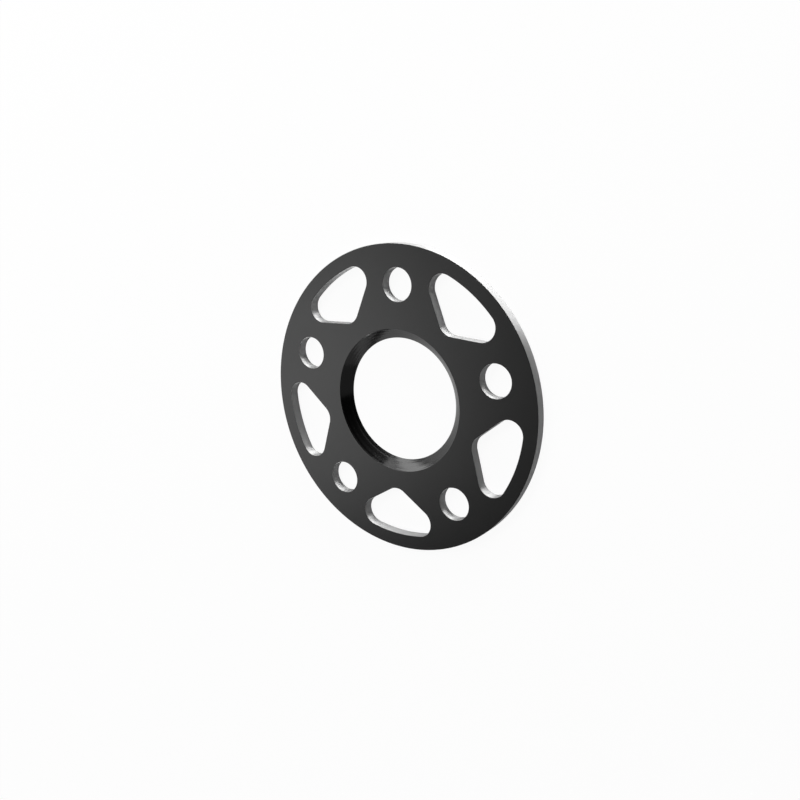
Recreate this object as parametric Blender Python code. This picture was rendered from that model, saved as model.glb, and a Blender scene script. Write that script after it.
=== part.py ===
"""Wheel spacer: a flat aluminium plate that sits between a hub and a wheel.

It is one piece: a turned disc with a tapered bore, five stud holes and five windows milled between them.
The plate lies on the XY plane with its axis on +Z. The origin is the centre of its underside. The wide end
of the taper is in its upper face, and one stud hole is on +Y. Lengths are in metres, angles in radians.
"""

import math

import bmesh
import bpy
from mathutils import Matrix, Vector

# Turned blank
OUTER_DIAMETER = 0.150
THICKNESS = 0.005

# Tapered bore, which clears the root of the hub's pilot
BORE_DIAMETER = 0.0603  # at the underside, where it is narrowest
TAPER_ANGLE = math.radians(45)  # between the taper's wall and the axis
TAPER_LAND = 0.0001  # height of the straight wall that blunts the taper's thin edge

# Stud holes
STUD_COUNT = 5
STUD_CIRCLE_DIAMETER = 0.112
STUD_HOLE_DIAMETER = 0.016

# Windows, one between each pair of stud holes, set by the metal left around them
BORE_RING_WIDTH = 0.0094  # between the mouth of the taper and a window's inner corner
RIM_WIDTH = 0.007  # between a window and the outer wall
STUD_WALL = 0.008  # between a stud hole and the windows beside it
WINDOW_CORNER_RADIUS = 0.007
SHALLOW_CORNER_SHARE = 0.4  # the most of a shallow window's depth that its corners' radius takes

# Small flat that takes the sharp edge off the outer wall, the stud holes and the windows
EDGE_BREAK = 0.00025

# Black anodised aluminium
ANODISED_COLOUR = (0.030, 0.030, 0.031, 1.0)
ANODISED_ROUGHNESS = 0.38
ANODISED_METALLIC = 0.85

# How closely flat facets follow a round wall, how far each cutter reaches past the plate, and the angle
# between two faces below which their shared edge looks smooth
FACET_ERROR = 0.00001
CUTTER_OVERRUN = 0.002
SMOOTH_BELOW = math.radians(30)

STUD_CIRCLE_RADIUS = STUD_CIRCLE_DIAMETER / 2
STUD_SPACING = math.tau / STUD_COUNT
FIRST_STUD = math.pi / 2
TAPER_HEIGHT = THICKNESS - TAPER_LAND
TAPER_MOUTH_RADIUS = BORE_DIAMETER / 2 + TAPER_HEIGHT * math.tan(TAPER_ANGLE)
WINDOW_INNER_RADIUS = TAPER_MOUTH_RADIUS + BORE_RING_WIDTH
WINDOW_OUTER_RADIUS = OUTER_DIAMETER / 2 - RIM_WIDTH
WINDOW_DEPTH = WINDOW_OUTER_RADIUS - WINDOW_INNER_RADIUS
CORNER_RADIUS = min(WINDOW_CORNER_RADIUS, SHALLOW_CORNER_SHARE * WINDOW_DEPTH)


def clear_scene():
    for item in list(bpy.data.objects):
        bpy.data.objects.remove(item)


def facets(radius, sweep, per=1):
    """Number of flats that follow an arc within FACET_ERROR, rounded up to a multiple of per."""
    widest = 2 * math.acos(1 - FACET_ERROR / radius)
    return per * math.ceil(sweep / widest / per)


def anodised():
    material = bpy.data.materials.new("black_anodised_aluminium")
    material.use_nodes = True
    shader = material.node_tree.nodes["Principled BSDF"]
    shader.inputs["Base Color"].default_value = ANODISED_COLOUR
    shader.inputs["Roughness"].default_value = ANODISED_ROUGHNESS
    shader.inputs["Metallic"].default_value = ANODISED_METALLIC
    material.diffuse_color = ANODISED_COLOUR
    return material


def finished(name, work):
    """Writes the work to a named object with its normals facing out, and returns that object."""
    bmesh.ops.recalc_face_normals(work, faces=work.faces)
    mesh = bpy.data.meshes.new(name)
    work.to_mesh(mesh)
    work.free()
    item = bpy.data.objects.new(name, mesh)
    bpy.context.scene.collection.objects.link(item)
    return item


def close_ends(work):
    """Puts one flat face on each of the two open ends of a tube."""
    rims = [edge for edge in work.edges if edge.is_boundary]
    bmesh.ops.holes_fill(work, edges=rims, sides=len(rims))


def turned(name, profile, sides):
    """Solid of revolution about Z. The profile is its outer wall, as (radius, height) from end to end."""
    work = bmesh.new()
    corners = [work.verts.new((radius, 0, height)) for radius, height in profile]
    wall = [work.edges.new(pair) for pair in zip(corners, corners[1:])]
    full_turn = {"cent": (0, 0, 0), "axis": (0, 0, 1), "angle": math.tau, "use_merge": True}
    bmesh.ops.spin(work, geom=corners + wall, steps=sides, **full_turn)
    close_ends(work)
    return finished(name, work)


def through_profile():
    """Wall of a cut through the plate, as (distance outside the cut's own outline, height).

    It is straight between the faces and flares at 45 degrees at each of them, which leaves the edge break.
    """
    flare = EDGE_BREAK + CUTTER_OVERRUN
    return [
        (flare, -CUTTER_OVERRUN),
        (0, EDGE_BREAK),
        (0, THICKNESS - EDGE_BREAK),
        (flare, THICKNESS + CUTTER_OVERRUN),
    ]


def blank():
    """The disc, with both edges of its outer wall broken."""
    radius = OUTER_DIAMETER / 2
    profile = [
        (radius - EDGE_BREAK, 0),
        (radius, EDGE_BREAK),
        (radius, THICKNESS - EDGE_BREAK),
        (radius - EDGE_BREAK, THICKNESS),
    ]
    return turned("wheel_spacer", profile, facets(radius, math.tau, per=4 * STUD_COUNT))


def taper_cutter():
    """Straight for the height of the land, then opening towards the upper face at the taper's angle."""
    radius = BORE_DIAMETER / 2
    overrun_radius = TAPER_MOUTH_RADIUS + CUTTER_OVERRUN * math.tan(TAPER_ANGLE)
    profile = [(radius, -CUTTER_OVERRUN), (radius, TAPER_LAND), (overrun_radius, THICKNESS + CUTTER_OVERRUN)]
    return turned("taper_cutter", profile, facets(TAPER_MOUTH_RADIUS, math.tau, per=4 * STUD_COUNT))


def stud_hole_cutter():
    """A drill with a flare at each end. It is made on the axis and moved out along X to the stud circle."""
    radius = STUD_HOLE_DIAMETER / 2
    profile = [(radius + outside, height) for outside, height in through_profile()]
    cutter = turned("stud_hole_cutter", profile, facets(radius, math.tau, per=4))
    cutter.data.transform(Matrix.Translation((STUD_CIRCLE_RADIUS, 0, 0)))
    return cutter


def window_corner_centres():
    """Centres of a window's inner corner and of its outer corner at +Y, and the angle of the side between.

    The window's centre line is +X. The inner corner clears the bore ring, the straight side from it clears
    the wall of the stud hole, and the outer corner lies where that side meets the arc that clears the rim.
    """
    inner = Vector((WINDOW_INNER_RADIUS + CORNER_RADIUS, 0))
    half_spacing = STUD_SPACING / 2
    stud = STUD_CIRCLE_RADIUS * Vector((math.cos(half_spacing), math.sin(half_spacing)))
    to_stud = stud - inner
    clearance = STUD_HOLE_DIAMETER / 2 + STUD_WALL + CORNER_RADIUS
    side_angle = math.atan2(to_stud.y, to_stud.x) - math.asin(clearance / to_stud.length)
    along = Vector((math.cos(side_angle), math.sin(side_angle)))
    passed = inner.dot(along)
    reached = WINDOW_OUTER_RADIUS - CORNER_RADIUS
    side_length = math.sqrt(passed**2 + reached**2 - inner.length_squared) - passed
    return inner, inner + side_length * along, side_angle


def arc(centre, radius, start, end, sides):
    """Points along an arc, with both of its ends."""
    angles = (start + (end - start) * step / sides for step in range(sides + 1))
    return [centre + radius * Vector((math.cos(angle), math.sin(angle))) for angle in angles]


def window_outline(outside):
    """A window's outline, or the outline at the given distance outside it, as points anticlockwise."""
    inner, outer, side_angle = window_corner_centres()
    mirrored = Vector((outer.x, -outer.y))
    outer_angle = math.atan2(outer.y, outer.x)
    normal = side_angle + math.pi / 2
    reach = CORNER_RADIUS + outside
    corner_sides = facets(CORNER_RADIUS, normal - outer_angle)
    inner_sides = facets(CORNER_RADIUS, math.tau - 2 * normal)
    rim_sides = facets(WINDOW_OUTER_RADIUS, 2 * outer_angle)
    rim_radius = WINDOW_OUTER_RADIUS + outside
    outline = arc(mirrored, reach, -normal, -outer_angle, corner_sides)
    outline += arc(Vector((0, 0)), rim_radius, -outer_angle, outer_angle, rim_sides)[1:]
    outline += arc(outer, reach, outer_angle, normal, corner_sides)[1:]
    outline += arc(inner, reach, normal, math.tau - normal, inner_sides)
    return outline


def window_cutter():
    """The window's outline at each level of the through profile, joined into a wall with closed ends."""
    work = bmesh.new()
    rings = []
    for outside, height in through_profile():
        corners = [work.verts.new((point.x, point.y, height)) for point in window_outline(outside)]
        rings.append([work.edges.new(pair) for pair in zip(corners, corners[1:] + corners[:1])])
    for below, above in zip(rings, rings[1:]):
        bmesh.ops.bridge_loops(work, edges=below + above)
    close_ends(work)
    return finished("window_cutter", work)


def around(cutter, first_angle):
    """The cutter and its copies on the same mesh, evenly spaced about the axis, one for each stud."""
    ring = [cutter] + [cutter.copy() for _ in range(STUD_COUNT - 1)]
    for number, item in enumerate(ring):
        item.rotation_euler.z = first_angle + number * STUD_SPACING
    for item in ring[1:]:
        bpy.context.scene.collection.objects.link(item)
    return ring


def cut(plate, cutter):
    cutter.display_type = "WIRE"
    cutter.hide_render = True
    boolean = plate.modifiers.new(cutter.name, "BOOLEAN")
    boolean.operation = "DIFFERENCE"
    boolean.solver = "EXACT"
    boolean.object = cutter


def keep_cuts(plate, cutters):
    """Makes the cuts permanent, deletes the cutters and marks the edges that look sharp."""
    view = bpy.context.evaluated_depsgraph_get()
    machined = bpy.data.meshes.new_from_object(plate.evaluated_get(view))
    plate.modifiers.clear()
    plate.data = machined
    machined.shade_smooth()
    machined.set_sharp_from_angle(angle=SMOOTH_BELOW)
    for cutter in cutters:
        bpy.data.objects.remove(cutter)


def main():
    clear_scene()
    plate = blank()
    plate.data.materials.append(anodised())
    cutters = [taper_cutter()]
    cutters += around(stud_hole_cutter(), FIRST_STUD)
    cutters += around(window_cutter(), FIRST_STUD + STUD_SPACING / 2)
    for cutter in cutters:
        cut(plate, cutter)
    keep_cuts(plate, cutters)


main()
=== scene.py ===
# %% [markdown]
# # A wheel spacer in black anodised aluminium
# A wheel spacer is a flat plate that is clamped between a wheel and its hub, to move the wheel outwards.
# This one is a single piece of metal, 150 mm across and 5 mm thick. The wheel studs pass through five round
# holes, the hub passes through the tapered bore in the middle, and the five windows only save weight.
# It can't stand on its edge by itself, so it lies on the floor and the camera looks down on it.
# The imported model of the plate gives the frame: its axis is Z, its underside is at height 0, and one stud
# hole is on +Y. Everything below is in metres in that frame.

# %% Load the frame
import math
import bmesh
import bpy
from mathutils import Matrix, Vector


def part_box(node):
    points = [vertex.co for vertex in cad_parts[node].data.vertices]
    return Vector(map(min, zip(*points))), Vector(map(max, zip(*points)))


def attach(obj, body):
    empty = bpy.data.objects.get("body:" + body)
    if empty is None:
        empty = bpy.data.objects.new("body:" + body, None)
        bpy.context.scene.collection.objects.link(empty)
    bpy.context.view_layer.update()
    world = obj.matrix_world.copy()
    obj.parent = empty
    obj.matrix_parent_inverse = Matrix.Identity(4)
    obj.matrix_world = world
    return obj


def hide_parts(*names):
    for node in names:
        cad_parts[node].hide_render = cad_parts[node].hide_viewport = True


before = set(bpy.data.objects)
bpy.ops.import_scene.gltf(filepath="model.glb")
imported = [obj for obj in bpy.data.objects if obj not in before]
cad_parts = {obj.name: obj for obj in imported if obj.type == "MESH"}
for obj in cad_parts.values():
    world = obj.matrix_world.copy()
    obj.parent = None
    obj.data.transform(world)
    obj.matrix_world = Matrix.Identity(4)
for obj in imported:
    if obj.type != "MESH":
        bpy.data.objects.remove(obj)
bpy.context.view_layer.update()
scene = bpy.context.scene
print("nodes in the frame:", sorted(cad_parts))

# %% [markdown]
# ## The camera
# The camera stands where the photograph was taken from. Its place and turn could be found by eye, by moving
# it until the picture looks right. Here they come from fitting the plate's known circles to their outlines
# in the photograph: the view is turned by 15 degrees about X and 35 degrees about Y, with a 40 mm lens.
# A Blender camera looks along its own -Z, so a camera with no rotation would look straight down on the plate.

# %% Place the camera
CAMERA_PLACE = (0.23744, 0.11101, 0.34162)
CAMERA_TURN = (math.radians(-15), math.radians(35), 0)
CAMERA_LENS_MM = 40

camera = bpy.data.objects.new("photo_camera", bpy.data.cameras.new("photo_camera"))
camera.data.lens = CAMERA_LENS_MM
camera.location = CAMERA_PLACE
camera.rotation_euler = CAMERA_TURN
scene.collection.objects.link(camera)
scene.camera = camera
print("camera is", round(camera.location.length, 3), "m from the plate's centre")

# %% [markdown]
# ## The sizes of the plate
# The outer radius and the thickness are read from the frame, so that the finished plate can't be larger than
# it. The other sizes are those of the real plate's drawing. A window isn't given by its corners: it is given
# by the metal that has to stay around it, which is how such a plate is designed.

# %% Name the sizes
low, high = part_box("wheel_spacer")
OUTER_RADIUS = min(high.x, high.y, -low.x, -low.y)
THICKNESS = high.z - low.z
TAPER_MOUTH_RADIUS = 0.03505
TAPER_FOOT_RADIUS = 0.03005
STUD_COUNT = 5
STUD_CIRCLE_RADIUS = 0.056
STUD_HOLE_RADIUS = 0.008
STUD_WALL = 0.008
WINDOW_INNER_RADIUS = 0.04445
WINDOW_OUTER_RADIUS = OUTER_RADIUS - 0.007
CORNER_RADIUS = 0.007
EDGE_BREAK = 0.00012
STUD_SPACING = math.tau / STUD_COUNT
FIRST_STUD = math.pi / 2
print("outer radius", round(OUTER_RADIUS * 1000, 2), "mm, thickness", round(THICKNESS * 1000, 2), "mm")

# %% [markdown]
# ## Outlines of the round cuts
# The plate starts as a drawing: the outlines of its upper face, all at one height. A circle operator makes
# the round ones. A circle is made of straight steps, so each gets enough steps to look round from close by.
# The steps of a small hole can be fewer, because what the eye sees is how far a step leaves the true circle.

# %% Draw the circles
ROUND_ERROR = 0.000003


def steps_for(radius, sweep=math.tau, per=1):
    """Number of straight steps that keep within ROUND_ERROR of an arc."""
    widest = 2 * math.acos(1 - ROUND_ERROR / radius)
    return per * math.ceil(sweep / widest / per)


def draw_circle(work, radius, centre=(0, 0)):
    place = Matrix.Translation((*centre, THICKNESS))
    made = bmesh.ops.create_circle(work, segments=steps_for(radius, per=4), radius=radius, matrix=place)
    return made["verts"]


plate = bmesh.new()
draw_circle(plate, OUTER_RADIUS)
draw_circle(plate, TAPER_MOUTH_RADIUS)
first_hole = draw_circle(plate, STUD_HOLE_RADIUS, (0, STUD_CIRCLE_RADIUS))
print("steps round the rim:", steps_for(OUTER_RADIUS, per=4), "and round a stud hole:", len(first_hole))

# %% [markdown]
# ## The outline of a window
# A window is milled, so each of its corners has the radius of the end mill. Its outline is drawn the way the
# mill walks: a point is spun about the centre of a corner, then about the plate's axis along the rim, then
# about the next corner, and a straight side leads to the corner near the bore. The spin operator leaves a
# chain of edges behind the point. Rounding the corners of a sharp outline with a bevel would also work, but
# here each centre is known, and the metal that is left beside a stud hole comes out exactly right.

# %% Find the window's corners
def towards(angle):
    return Vector((math.cos(angle), math.sin(angle), 0))


inner_centre = (WINDOW_INNER_RADIUS + CORNER_RADIUS) * towards(0)
to_stud = STUD_CIRCLE_RADIUS * towards(STUD_SPACING / 2) - inner_centre
clearance = STUD_HOLE_RADIUS + STUD_WALL + CORNER_RADIUS
side_angle = math.atan2(to_stud.y, to_stud.x) - math.asin(clearance / to_stud.length)
passed = inner_centre.dot(towards(side_angle))
reached = WINDOW_OUTER_RADIUS - CORNER_RADIUS
side_length = math.sqrt(passed**2 + reached**2 - inner_centre.length_squared) - passed
outer_centre = inner_centre + side_length * towards(side_angle)
outer_angle = math.atan2(outer_centre.y, outer_centre.x)
print("a window's side leans", round(math.degrees(side_angle), 1), "degrees from its centre line")

# %% Walk round the window
top = Vector((0, 0, THICKNESS))
normal_angle = side_angle + math.pi / 2
mirrored_centre = Vector((outer_centre.x, -outer_centre.y, 0))


def walk(work, point, centre, sweep, radius):
    """Spins the point about the centre. Returns the point at the end of the arc, and all of its points."""
    steps = steps_for(radius, sweep)
    turn = {"cent": centre + top, "axis": (0, 0, 1), "angle": sweep, "steps": steps}
    before = set(work.verts)
    end = bmesh.ops.spin(work, geom=[point], **turn)["geom_last"][0]
    return end, [vertex for vertex in work.verts if vertex not in before]


def straight_to(work, point, place):
    end = work.verts.new(place)
    work.edges.new((point, end))
    return end


start = plate.verts.new(mirrored_centre + CORNER_RADIUS * towards(-normal_angle) + top)
window = [start]
point, arc = walk(plate, start, mirrored_centre, normal_angle - outer_angle, CORNER_RADIUS)
window += arc
point, arc = walk(plate, point, Vector(), 2 * outer_angle, WINDOW_OUTER_RADIUS)
window += arc
point, arc = walk(plate, point, outer_centre, normal_angle - outer_angle, CORNER_RADIUS)
window += arc
point = straight_to(plate, point, inner_centre + CORNER_RADIUS * towards(normal_angle) + top)
window.append(point)
point, arc = walk(plate, point, inner_centre, math.tau - 2 * normal_angle, CORNER_RADIUS)
window += arc
plate.edges.new((point, start))
print("points in a window's outline:", len(window))

# %% [markdown]
# ## Five of each
# The stud hole and the window are drawn once. The spin operator can leave whole copies behind instead of a
# surface, so it carries one hole and one window round the axis to the four places that are left.

# %% Copy the hole and the window round the axis
to_first_window = Matrix.Rotation(FIRST_STUD - STUD_SPACING / 2, 3, "Z")
bmesh.ops.rotate(plate, verts=window, cent=(0, 0, 0), matrix=to_first_window)
sector = set(first_hole + window)
sector_edges = [edge for edge in plate.edges if edge.verts[0] in sector and edge.verts[1] in sector]
copies = {"steps": STUD_COUNT - 1, "angle": math.tau - STUD_SPACING, "use_duplicate": True}
bmesh.ops.spin(plate, geom=list(sector) + sector_edges, cent=(0, 0, 0), axis=(0, 0, 1), **copies)
print("edges in the drawing:", len(plate.edges))

# %% [markdown]
# ## From the drawing to a solid
# Triangle fill covers the space between all the outlines with one flat face and leaves the holes open.
# Extruding that face gives the walls of every hole at once, which is what sawing the shape out of a plate
# does. A Boolean for each hole would give the same walls with longer and less even faces.

# %% Fill and extrude
bmesh.ops.triangle_fill(plate, edges=plate.edges[:], use_beauty=True, normal=(0, 0, 1))
extruded = bmesh.ops.extrude_face_region(plate, geom=plate.faces[:])["geom"]
underside = [item for item in extruded if isinstance(item, bmesh.types.BMVert)]
bmesh.ops.translate(plate, verts=underside, vec=(0, 0, -THICKNESS))
bmesh.ops.recalc_face_normals(plate, faces=plate.faces)
print("faces in the sharp-edged plate:", len(plate.faces))

# %% [markdown]
# ## The tapered bore
# On the lathe, the bore is opened with a tool at 45 degrees, to clear the rounded root of the hub. After the
# extrusion the bore's wall is straight, so its lower edge is scaled in towards the axis, and the wall leans.

# %% Taper the bore
TOUCHING = 0.00001


def radius_of(place):
    return math.hypot(place.x, place.y)


foot = [vertex for vertex in underside if abs(radius_of(vertex.co) - TAPER_MOUTH_RADIUS) < TOUCHING]
ratio = TAPER_FOOT_RADIUS / TAPER_MOUTH_RADIUS
bmesh.ops.scale(plate, verts=foot, vec=(ratio, ratio, 1))
print("points moved in to make the taper:", len(foot))

# %% [markdown]
# ## Broken edges
# No machined edge is left sharp. A deburring tool takes off about a tenth of a millimetre, and the thin edge
# of light that this leaves along each rim is much of what makes metal look real. The bevel operator rounds
# every edge where the surface turns by more than 80 degrees: the square edges and the thin foot of the taper.
# At the mouth of the taper the surface turns by only 45 degrees, and that edge stays as it is.

# %% Round the edges
SHARP = math.radians(80)
EDGE_STEPS = 4


def edges_past(work, angle):
    """Edges where the surface turns by more than the angle."""
    return [edge for edge in work.edges if edge.calc_face_angle(0) > angle]


sharp_edges = edges_past(plate, SHARP)
rounding = {"affect": "EDGES", "segments": EDGE_STEPS, "profile": 0.5, "material": -1}
bmesh.ops.bevel(plate, geom=sharp_edges, offset=EDGE_BREAK, **rounding)
print("edges that are broken:", len(sharp_edges))
print("faces after the edges are broken:", len(plate.faces))

# %% [markdown]
# ## Three machined surfaces
# The same finish looks different on each kind of surface, because the tools leave different marks under it:
# the flat faces are blasted, the taper is turned, and the outer wall, the stud holes and the windows are cut
# with the side of a tool. The cut walls also get a much lighter shade, which is painted reflection. Each face
# of the mesh gets the number of the material that it needs. The flat faces are shaded flat and the others
# smooth, and an edge past 40 degrees stays a sharp line, which is the mouth of the taper.

# %% Sort the faces
BLASTED, TURNED, CUT_WALL = range(3)
FLAT_ENOUGH = 0.9999
CREASE = math.radians(40)

for face in plate.faces:
    face.smooth = abs(face.normal.z) < FLAT_ENOUGH
    if not face.smooth:
        face.material_index = BLASTED
    elif radius_of(face.calc_center_median()) < TAPER_MOUTH_RADIUS:
        face.material_index = TURNED
    else:
        face.material_index = CUT_WALL
for edge in edges_past(plate, CREASE):
    edge.smooth = False
counts = [sum(face.material_index == kind for face in plate.faces) for kind in (BLASTED, TURNED, CUT_WALL)]
print("blasted, turned and cut faces:", counts)

# %% Make the object
mesh = bpy.data.meshes.new("spacer_plate")
plate.to_mesh(mesh)
plate.free()
spacer = bpy.data.objects.new("spacer_plate", mesh)
scene.collection.objects.link(spacer)
print("triangles:", sum(len(polygon.vertices) - 2 for polygon in mesh.polygons))

# %% [markdown]
# ## Black anodising
# Anodising grows a thin, clear oxide layer on the aluminium and dyes it black. The metal below still
# reflects, but through the dye, so the surface is a very dark metal with a soft gloss. A plain dark colour
# would look like paint. Here three things vary: the depth of the dye by a few percent over centimetres, the
# roughness over a millimetre or less, and the height of the surface, which is only bump.

# %% Start a finish
NOISE_DETAIL = 3


def grey(level):
    return (level, level, level, 1)


def value_range(nodes, links, source, least, most):
    """Spreads a 0 to 1 value over the range from least to most."""
    spread = nodes.new("ShaderNodeMapRange")
    spread.inputs["To Min"].default_value = least
    spread.inputs["To Max"].default_value = most
    links.new(source, spread.inputs["Value"])
    return spread.outputs["Result"]


def noise(nodes, links, vector, scale):
    texture = nodes.new("ShaderNodeTexNoise")
    texture.inputs["Scale"].default_value = scale
    texture.inputs["Detail"].default_value = NOISE_DETAIL
    links.new(vector, texture.inputs["Vector"])
    return texture.outputs["Fac"]


def mixed(nodes, links, factor, first, second):
    """Mixes two values, where the factor is a number."""
    mix = nodes.new("ShaderNodeMix")
    mix.inputs["Factor"].default_value = factor
    links.new(first, mix.inputs["A"])
    links.new(second, mix.inputs["B"])
    return mix.outputs["Result"]


print("each noise has", NOISE_DETAIL, "finer layers over its first")

# %% [markdown]
# ## Tool marks
# A lathe leaves grooves that run round the axis, so on turned surfaces the noise changes quickly with the
# distance from the axis and with the height, and slowly round the plate. An end mill leaves bands that run
# along the wall, so on milled walls the noise changes quickly with the height alone. Both come from one
# texture: only the coordinate that it reads is stretched differently. The coordinate is the object's own,
# so the marks stay on the metal from every view.

# %% Stretch the coordinates
def mark_coordinates(nodes, links, place, across, along, radial):
    """Coordinates that change by across per metre over the marks, and by along per metre beside them.

    Radial is 1 where the marks also follow each other outwards, as on the taper, and otherwise 0.
    """
    parts = nodes.new("ShaderNodeSeparateXYZ")
    links.new(place, parts.inputs["Vector"])
    flat = nodes.new("ShaderNodeCombineXYZ")
    links.new(parts.outputs["X"], flat.inputs["X"])
    links.new(parts.outputs["Y"], flat.inputs["Y"])
    radius = nodes.new("ShaderNodeVectorMath")
    radius.operation = "LENGTH"
    links.new(flat.outputs["Vector"], radius.inputs[0])
    over = nodes.new("ShaderNodeMath")
    over.operation = "MULTIPLY_ADD"
    links.new(radius.outputs["Value"], over.inputs[0])
    over.inputs[1].default_value = radial
    links.new(parts.outputs["Z"], over.inputs[2])
    stretched = nodes.new("ShaderNodeCombineXYZ")
    links.new(parts.outputs["X"], stretched.inputs["X"])
    links.new(parts.outputs["Y"], stretched.inputs["Y"])
    links.new(over.outputs["Value"], stretched.inputs["Z"])
    scaled = nodes.new("ShaderNodeVectorMath")
    scaled.operation = "MULTIPLY"
    scaled.inputs[1].default_value = (along, along, across)
    links.new(stretched.outputs["Vector"], scaled.inputs[0])
    return scaled.outputs["Vector"]


# %% Mix the finish
DYE_SCALE = 45
WEAK_DYE = 0.93
STRONG_DYE = 1.07
MARKS_IN_DYE = 0.5
GRAIN_SCALE = 4000


def anodised(name, shade, roughness, marks, mark_share, mark_depth):
    """Black anodising over one kind of machined surface. The roughness is its lowest and highest value."""
    material = bpy.data.materials.new(name)
    material.use_nodes = True
    nodes, links = material.node_tree.nodes, material.node_tree.links
    shader = nodes["Principled BSDF"]
    place = nodes.new("ShaderNodeTexCoord").outputs["Object"]
    dye = nodes.new("ShaderNodeMix")
    dye.data_type = "RGBA"
    dye.inputs["A"].default_value = grey(WEAK_DYE * shade)
    dye.inputs["B"].default_value = grey(STRONG_DYE * shade)
    grain = noise(nodes, links, place, GRAIN_SCALE)
    marked = noise(nodes, links, mark_coordinates(nodes, links, place, **marks), 1)
    surface = mixed(nodes, links, mark_share, grain, marked)
    cloud = noise(nodes, links, place, DYE_SCALE)
    links.new(mixed(nodes, links, MARKS_IN_DYE * mark_share, cloud, marked), dye.inputs["Factor"])
    links.new(dye.outputs["Result"], shader.inputs["Base Color"])
    links.new(value_range(nodes, links, surface, *roughness), shader.inputs["Roughness"])
    bump = nodes.new("ShaderNodeBump")
    bump.inputs["Distance"].default_value = mark_depth
    links.new(surface, bump.inputs["Height"])
    links.new(bump.outputs["Normal"], shader.inputs["Normal"])
    shader.inputs["Metallic"].default_value = 1
    return material


def smear_across_marks(material, amount):
    """Spreads reflections along the plate's axis, across marks that run round a wall."""
    nodes, links = material.node_tree.nodes, material.node_tree.links
    up = nodes.new("ShaderNodeCombineXYZ")
    up.inputs["Z"].default_value = 1
    turned_with_plate = nodes.new("ShaderNodeVectorTransform")
    turned_with_plate.convert_from = "OBJECT"
    turned_with_plate.convert_to = "WORLD"
    links.new(up.outputs["Vector"], turned_with_plate.inputs["Vector"])
    links.new(turned_with_plate.outputs["Vector"], nodes["Principled BSDF"].inputs["Tangent"])
    nodes["Principled BSDF"].inputs["Anisotropic"].default_value = amount


print("the dye varies over", round(1000 / DYE_SCALE), "mm and the grain over", 1000 / GRAIN_SCALE, "mm")

# %% [markdown]
# ## The three finishes
# The faces and the taper are nearly black. The walls are given a light grey, which is a painted reflection:
# it stands in for the bright studio light that makes the cut walls look almost silvery, on anodised metal
# that is nearly black itself, and how light it is is a guess. The marks on a wall run round it, and they
# spread each reflection along the plate's axis, which is what Anisotropic does when its tangent points up. On
# a metal, Specular Tint is how much is reflected at a glancing view, and the dye keeps a little of it back.

# %% Make the finishes
GLANCING_SHADE = 0.7
WALL_SMEAR = 0.95
face_finish = {
    "shade": 0.0425,
    "roughness": (0.29, 0.37),
    "marks": {"across": 900, "along": 900, "radial": 0},
    "mark_share": 0.3,
    "mark_depth": 0.000002,
}
taper_finish = {
    "shade": 0.094,
    "roughness": (0.03, 0.27),
    "marks": {"across": 800, "along": 5, "radial": 1},
    "mark_share": 1,
    "mark_depth": 0.00004,
}
# The walls' shade of 0.49 is painted reflection: a light grey that stands in for the bright studio light the
# cut walls reflect, on metal that is nearly black.
wall_finish_and_painted_reflection = {
    "shade": 0.49,
    "roughness": (0.52, 0.62),
    "marks": {"across": 1600, "along": 60, "radial": 0},
    "mark_share": 0.8,
    "mark_depth": 0.000004,
}
blasted = anodised("anodised_blasted", **face_finish)
turned = anodised("anodised_turned", **taper_finish)
cut_wall = anodised("anodised_cut_wall_painted_reflection", **wall_finish_and_painted_reflection)
smear_across_marks(cut_wall, WALL_SMEAR)
turned.node_tree.nodes["Principled BSDF"].inputs["Specular Tint"].default_value = grey(GLANCING_SHADE)
for finish in (blasted, turned, cut_wall):
    mesh.materials.append(finish)
print("materials:", [material.name for material in mesh.materials])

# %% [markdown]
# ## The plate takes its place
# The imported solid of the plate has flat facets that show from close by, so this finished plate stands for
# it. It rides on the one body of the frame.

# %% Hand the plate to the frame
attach(spacer, "root")
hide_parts("wheel_spacer")
print("spacer_plate rides on root and stands for wheel_spacer")

# %% [markdown]
# ## The floor
# The plate lies on a plain white floor, which curves up into a low white wall all round, far outside the
# picture. Photographers call this a cove: it has no corner, so no line shows behind the object. The room
# above the cove looks just as white to the camera, but it is dark in reflections.
# A white floor that is lit to be white all over would need more light than the plate should get, so the
# floor itself gives most of the light that the camera sees, and part of the light that reflections see. The
# rest of its light is real, and that part keeps the plate's shadow.
# Recalculated normals point out of the bowl that the cove makes, so they are turned round to face the plate.

# %% Lay the floor
COVE_RADIUS = 6
COVE_HEIGHT = 1.8
COVE_SIDES = 96
COVE_BEND = 1.2
BEND_STEPS = 12
FLOOR_DROP = 0.00002  # keeps the floor clear of the plate's underside

cove = bmesh.new()
ring = bmesh.ops.create_circle(cove, cap_ends=True, segments=COVE_SIDES, radius=COVE_RADIUS)["verts"]
bmesh.ops.translate(cove, verts=ring, vec=(0, 0, -FLOOR_DROP))
corner = [edge for edge in cove.edges if edge.is_boundary]
risen = bmesh.ops.extrude_edge_only(cove, edges=corner)["geom"]
upper_ring = [item for item in risen if isinstance(item, bmesh.types.BMVert)]
bmesh.ops.translate(cove, verts=upper_ring, vec=(0, 0, COVE_HEIGHT))
bend = {"affect": "EDGES", "segments": BEND_STEPS, "profile": 0.5, "material": -1}
bmesh.ops.bevel(cove, geom=corner, offset=COVE_BEND, **bend)
bmesh.ops.recalc_face_normals(cove, faces=cove.faces)
bmesh.ops.reverse_faces(cove, faces=cove.faces)
for face in cove.faces:
    face.smooth = len(face.verts) == 4
floor_mesh = bpy.data.meshes.new("floor")
cove.to_mesh(floor_mesh)
cove.free()
floor = bpy.data.objects.new("floor", floor_mesh)
scene.collection.objects.link(floor)
print("floor faces:", len(floor_mesh.polygons))

# %% Paint the floor white
FLOOR_WHITE = 0.9
GLOW_SEEN = 0.94
GLOW_REFLECTED = 0.18

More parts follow.
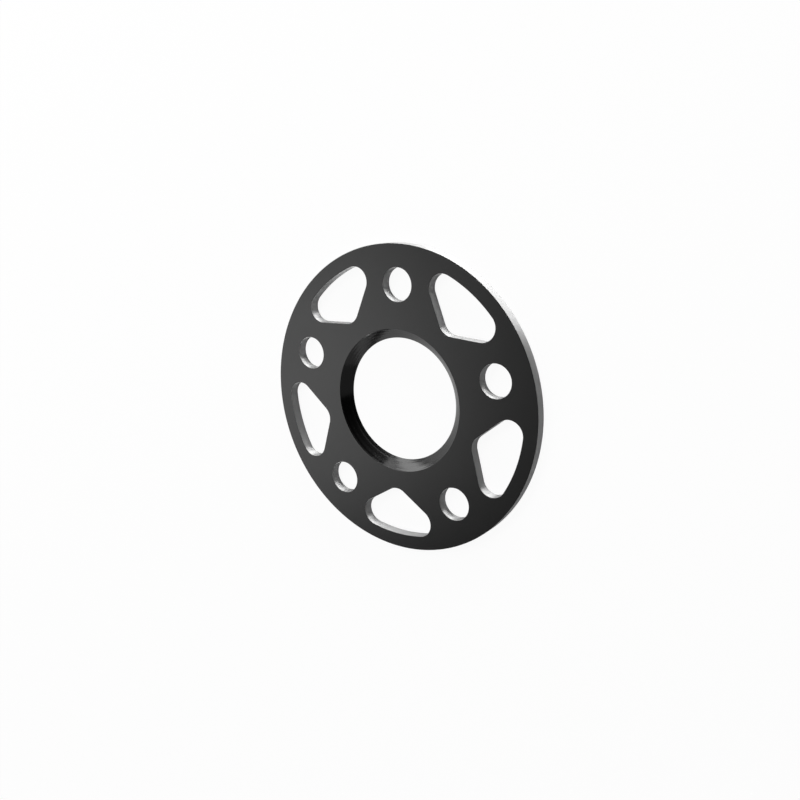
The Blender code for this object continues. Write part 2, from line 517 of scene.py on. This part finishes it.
white = bpy.data.materials.new("white_floor")
white.use_nodes = True
floor_mesh.materials.append(white)
nodes, links = white.node_tree.nodes, white.node_tree.links
nodes.remove(nodes["Principled BSDF"])


def glow_share(tree, seen, reflected):
    """Share of glow for a ray: the first for the camera and through glass, the second in reflections."""
    path = tree.nodes.new("ShaderNodeLightPath")
    total = None
    for ray, amount in (("Is Camera Ray", seen), ("Is Transmission Ray", seen), ("Is Glossy Ray", reflected)):
        share = tree.nodes.new("ShaderNodeMath")
        share.operation = "MULTIPLY_ADD"
        tree.links.new(path.outputs[ray], share.inputs[0])
        share.inputs[1].default_value = amount
        share.inputs[2].default_value = 0
        if total:
            tree.links.new(total, share.inputs[2])
        total = share.outputs["Value"]
    return total


paint = nodes.new("ShaderNodeBsdfDiffuse")
paint.inputs["Color"].default_value = grey(FLOOR_WHITE)
glow = nodes.new("ShaderNodeEmission")
blend = nodes.new("ShaderNodeMixShader")
links.new(glow_share(white.node_tree, GLOW_SEEN, GLOW_REFLECTED), blend.inputs["Fac"])
links.new(paint.outputs["BSDF"], blend.inputs[1])
links.new(glow.outputs["Emission"], blend.inputs[2])
links.new(blend.outputs["Shader"], nodes["Material Output"].inputs["Surface"])
print("the camera sees", GLOW_SEEN, "of the floor's light as glow, and reflections see", GLOW_REFLECTED)

# %% Paint the room
ROOM_SEEN = 0.955
ROOM_REFLECTED = 0.01

world = bpy.data.worlds.new("studio")
scene.world = world
world.use_nodes = True
room = world.node_tree
room.nodes["Background"].inputs["Color"].default_value = grey(1)
room_light = glow_share(room, ROOM_SEEN, ROOM_REFLECTED)
room.links.new(room_light, room.nodes["Background"].inputs["Strength"])
print("reflections see the room above the cove at", ROOM_REFLECTED)

# %% [markdown]
# ## The lamps
# Black metal has almost no colour of its own: what it shows is the studio. Each surface of the plate mirrors
# another part of it. The flat face mirrors a soft box on the left, which is why it goes from grey to black
# on its way to the right. The bottom of the taper mirrors the low and the middle box beyond the upper edge
# of the picture, and its top mirrors weak boxes beyond the lower edge. The left of the taper mirrors the
# place of the camera, where nothing is lit, so it stays black. The walls mirror the floor beside the plate
# and can't mirror a lamp, but long low strips light them from the sides. A weak box overhead is there for
# views from above, in which the face would otherwise be dead black.
# A soft box's brightness is given as the camera would see it, where 1 is white. Its power in watts follows
# from that and from its area. The boxes are hidden from the camera, so that no view shows one.

# %% Hang the soft boxes
LAMP_DISTANCE = 1.3


def soft_box(name, azimuth, elevation, width, height, brightness):
    """A rectangular lamp that faces the plate. The azimuth is its direction from the plate, from +X to +Y."""
    rise = math.radians(elevation)
    direction = math.cos(rise) * towards(math.radians(azimuth)) + Vector((0, 0, math.sin(rise)))
    lamp = bpy.data.lights.new(name, "AREA")
    lamp.shape = "RECTANGLE"
    lamp.size = width
    lamp.size_y = height
    lamp.energy = brightness * math.pi * width * height
    hung = bpy.data.objects.new(name, lamp)
    hung.location = LAMP_DISTANCE * direction
    hung.rotation_euler = direction.to_track_quat("Z", "Y").to_euler()
    hung.visible_camera = False
    scene.collection.objects.link(hung)


# The numbers are azimuth and elevation in degrees, width and height in metres, and brightness.
soft_box("left_box", 197, 44, 0.6, 0.6, 2.65)
soft_box("high_back_box", 119, 50, 0.8, 0.6, 5.6)
soft_box("middle_back_box", 121, 25, 0.55, 0.3, 1.1)
soft_box("low_back_box", 143, 9, 1.35, 0.4, 2.1)
soft_box("rim_strip", 73, 8.5, 1.8, 0.24, 21)
soft_box("front_strip", 247, 17, 0.7, 0.3, 5.2)
soft_box("front_fill", 284, 20, 0.9, 0.6, 0.18)
soft_box("right_fill", 326, 34, 0.9, 0.6, 0.09)
soft_box("overhead_box", 45, 84, 0.9, 0.9, 0.45)

# %% [markdown]
# ## The view
# The view transform is set to Standard, so that a colour is shown as it was written. The finished
# plate has to lie inside the box of the frame.

# %% Finish
scene.view_settings.view_transform = "Standard"
